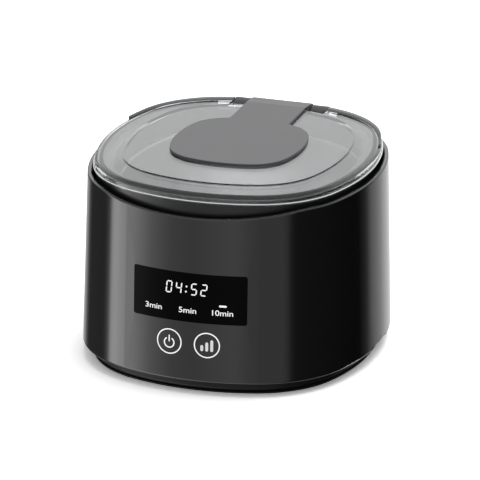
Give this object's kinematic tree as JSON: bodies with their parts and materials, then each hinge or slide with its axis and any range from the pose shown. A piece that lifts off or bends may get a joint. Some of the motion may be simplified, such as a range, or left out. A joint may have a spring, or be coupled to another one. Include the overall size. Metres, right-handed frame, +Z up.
{
  "type": "ultrasonic denture cleaner",
  "caption": "Countertop ultrasonic cleaner for dentures: rounded black housing with timer display and touch keys, and a hinged clear lid over a drawn steel tank.",
  "frame": {"origin": "on the table under the middle of the four feet", "axes": "+Z up; the front with the display faces -Y; +X to the right of somebody facing the front"},
  "size_m": [0.1238, 0.133, 0.087],
  "materials": {
    "housing_black": "high gloss",
    "collar_grey": "fine matt",
    "base_black": "fine matt",
    "tank_steel": "drawn and polished",
    "clamp_nylon": "natural nylon",
    "gasket_silicone": "soft matt",
    "foot_rubber": "matt",
    "screw_steel": "zinc plated",
    "pin_steel": "ground",
    "bond_resin": "cured resin",
    "transducer_ceramic": "fired ceramic",
    "lens_black": "smoked gloss",
    "module_black": "black filler",
    "pad_foam": "conductive foam",
    "board_green": "solder mask",
    "component_black": "moulded",
    "ferrite_grey": "sintered ferrite",
    "tape_yellow": "polyester tape",
    "coil_copper": "enamelled wire",
    "can_sleeve": "sleeved can",
    "sink_aluminium": "extruded",
    "plug_white": "moulded nylon",
    "ribbon_grey": "ribbon insulation",
    "lead_red": "silicone insulation",
    "lid_clear": "clear polished",
    "plate_grey": "semi-gloss"
  },
  "bodies": {
    "housing": {"outer_shell": "housing_black", "top_collar": "collar_grey", "tank": "tank_steel", "tank_gasket": "gasket_silicone", "tank_clamp_ring": "clamp_nylon", "clamp_screws": "screw_steel", "collar_screws": "screw_steel", "transducer_bond": "bond_resin", "piezo_disc": "transducer_ceramic", "display_lens": "lens_black", "display_module": "module_black", "touch_pads": "pad_foam", "control_board": "board_green", "control_board_screws": "screw_steel", "buzzer": "component_black", "base_plate": "base_black", "base_screws": "screw_steel", "rubber_feet": "foot_rubber", "driver_board": "board_green", "driver_board_screws": "screw_steel", "transformer_core": "ferrite_grey", "transformer_winding": "tape_yellow", "choke_coil": "coil_copper", "filter_capacitors": "can_sleeve", "heat_sink": "sink_aluminium", "power_transistor": "component_black", "cable_plugs": "plug_white", "signal_ribbon": "ribbon_grey", "transducer_leads": "lead_red", "power_socket": "component_black", "socket_contact": "pin_steel", "hinge_pin": "pin_steel"},
    "lid": {"lid_shell": "lid_clear", "lid_plate": "plate_grey", "lid_plate_screws": "screw_steel", "lid_rear_trim": "plate_grey"}
  },
  "joints": [
    {"name": "lid_hinge", "type": "hinge", "parent": "housing", "child": "lid", "pos_m": [0, 0.0586, 0.0821], "axis": [-1, 0, 0], "range_deg": [0, 105]}
  ]
}
